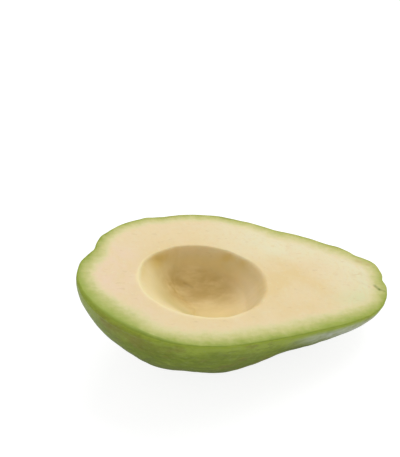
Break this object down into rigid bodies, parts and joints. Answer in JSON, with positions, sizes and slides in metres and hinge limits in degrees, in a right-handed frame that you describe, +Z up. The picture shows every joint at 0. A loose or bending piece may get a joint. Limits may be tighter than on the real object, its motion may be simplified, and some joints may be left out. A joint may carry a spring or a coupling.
{
  "type": "avocado half",
  "caption": "Pear-shaped green avocado half, cut lengthwise face up, with the round hollow that its seed left.",
  "frame": {"origin": "on the surface the half lies on, under the middle of its outline", "axes": "+X along the fruit towards its stem end, +Y across it, +Z up"},
  "size_m": [0.1116, 0.0634, 0.0452],
  "materials": {
    "avocado": "moist satin cut flesh, cream inside and green towards the skin, in smooth satin green skin"
  },
  "bodies": {
    "root": {"avocado_half": "avocado"}
  },
  "joints": []
}
